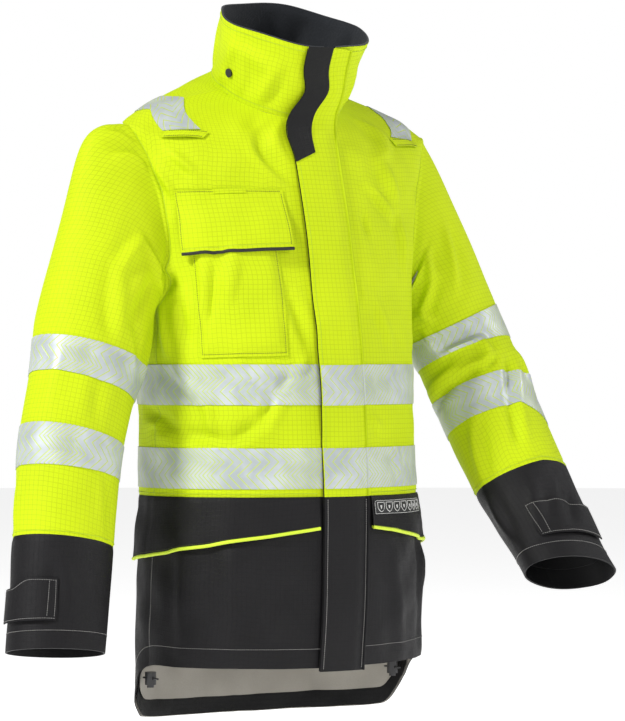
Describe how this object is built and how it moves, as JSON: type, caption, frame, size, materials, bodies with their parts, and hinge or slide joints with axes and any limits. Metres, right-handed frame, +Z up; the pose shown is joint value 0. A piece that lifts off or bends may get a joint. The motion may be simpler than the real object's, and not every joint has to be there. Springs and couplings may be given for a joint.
{
  "type": "high visibility turnout coat",
  "caption": "Long work coat in yellow and charcoal cloth: stand collar, drop tail, storm flap over a zip, flapped pockets, reflective tape, cuff tabs.",
  "frame": {"origin": "the hanger loop inside the back of the neck, where a hook carries the coat", "axes": "+Z up, -Y the way the wearer faces, +X the wearer's left"},
  "size_m": [0.8423, 0.3414, 0.9119],
  "materials": {
    "yellow_shell": "fluorescent yellow ripstop with a fine dark grid",
    "yellow_piping": "fluorescent yellow piping",
    "reflective_tape": "silver reflective segments in chevrons",
    "lining": "grey beige lining",
    "collar_fleece": "dark navy fleece",
    "black_webbing": "woven black tape",
    "zip_teeth": "moulded black",
    "slider_metal": "black enamel",
    "snap_metal": "black press stud",
    "lock_plastic": "moulded black",
    "label_black": "woven strip",
    "label_white": null,
    "charcoal_shell": "anthracite ripstop"
  },
  "bodies": {
    "coat": {"right_front": "yellow_shell", "left_front": "yellow_shell", "back_panel": "yellow_shell", "right_skirt": "charcoal_shell", "left_skirt": "charcoal_shell", "back_skirt": "charcoal_shell", "right_sleeve": "yellow_shell", "left_sleeve": "yellow_shell", "right_cuff": "charcoal_shell", "left_cuff": "charcoal_shell", "collar_shell": "yellow_shell", "collar_lining": "collar_fleece", "body_lining": "lining", "right_sleeve_lining": "lining", "left_sleeve_lining": "lining", "hem_facing": "charcoal_shell", "upper_body_tape": "reflective_tape", "lower_body_tape": "reflective_tape", "right_sleeve_tapes": "reflective_tape", "left_sleeve_tapes": "reflective_tape", "shoulder_tapes": "reflective_tape", "front_studs": "snap_metal", "chest_pocket": "yellow_shell", "right_hip_bag": "lining", "left_hip_bag": "lining", "radio_loops": "yellow_shell", "hood_snaps": "snap_metal", "right_zip_tape": "black_webbing", "left_zip_tape": "black_webbing", "right_zip_teeth": "zip_teeth", "left_zip_teeth": "zip_teeth", "cuff_hook_pads": "black_webbing", "hanger_loop": "black_webbing", "hem_cord": "black_webbing", "right_cord_lock": "lock_plastic", "left_cord_lock": "lock_plastic"},
    "slider": {"zip_slider": "slider_metal"},
    "puller": {"zip_puller": "slider_metal"},
    "storm_flap": {"storm_flap": "yellow_shell", "flap_facing": "charcoal_shell", "flap_tapes": "reflective_tape", "flap_stud_caps": "snap_metal"},
    "chest_flap": {"chest_flap": "yellow_shell", "chest_flap_piping": "charcoal_shell", "pen_loop": "yellow_shell"},
    "right_hip_flap": {"right_hip_flap": "charcoal_shell", "right_hip_piping": "yellow_piping"},
    "left_hip_flap": {"left_hip_flap": "charcoal_shell", "left_hip_piping": "yellow_piping", "care_strip": "label_black", "care_marks": "label_white"},
    "right_cuff_tab": {"right_cuff_tab": "charcoal_shell"},
    "left_cuff_tab": {"left_cuff_tab": "charcoal_shell"},
    "right_lock_button": {"right_lock_button": "lock_plastic"},
    "left_lock_button": {"left_lock_button": "lock_plastic"}
  },
  "joints": [
    {"name": "zip_slide", "type": "hinge", "parent": "coat", "child": "slider", "pos_m": [0, 1.4606, -0.582], "axis": [1, 0, 0], "range_deg": [0, 21.5]},
    {"name": "puller_swing", "type": "hinge", "parent": "slider", "child": "puller", "pos_m": [0, -0.14337, -0.09957], "axis": [-1, 0, 0], "range_deg": [0, 4]},
    {"name": "storm_flap_hinge", "type": "hinge", "parent": "coat", "child": "storm_flap", "pos_m": [0.0345, -0.2159, -0.4719], "axis": [0, 0.0654, 0.9979], "range_deg": [0, 100]},
    {"name": "chest_flap_hinge", "type": "hinge", "parent": "coat", "child": "chest_flap", "pos_m": [-0.13476, -0.13996, -0.17222], "axis": [-0.9252, 0.379, -0.0175], "range_deg": [0, 90]},
    {"name": "right_hip_flap_hinge", "type": "hinge", "parent": "coat", "child": "right_hip_flap", "pos_m": [-0.16381, -0.14455, -0.55487], "axis": [-0.6115, 0.7912, 0.0002], "range_deg": [0, 30]},
    {"name": "left_hip_flap_hinge", "type": "hinge", "parent": "coat", "child": "left_hip_flap", "pos_m": [0.16381, -0.14455, -0.55487], "axis": [-0.6115, -0.7912, -0.0002], "range_deg": [0, 30]},
    {"name": "right_tab_hinge", "type": "hinge", "parent": "coat", "child": "right_cuff_tab", "pos_m": [-0.38834, -0.16578, -0.6661], "axis": [0.1763, 0.1516, 0.9726], "range_deg": [0, 80]},
    {"name": "left_tab_hinge", "type": "hinge", "parent": "coat", "child": "left_cuff_tab", "pos_m": [0.27702, -0.23213, -0.58616], "axis": [0.2164, -0.5417, -0.8123], "range_deg": [0, 80]},
    {"name": "right_lock_press", "type": "slide", "parent": "coat", "child": "right_lock_button", "axis": [0, 0, 1], "range_m": [0, 0.003], "stiffness_N_per_m": 300},
    {"name": "left_lock_press", "type": "slide", "parent": "coat", "child": "left_lock_button", "axis": [0, 0, 1], "range_m": [0, 0.003], "stiffness_N_per_m": 300}
  ]
}
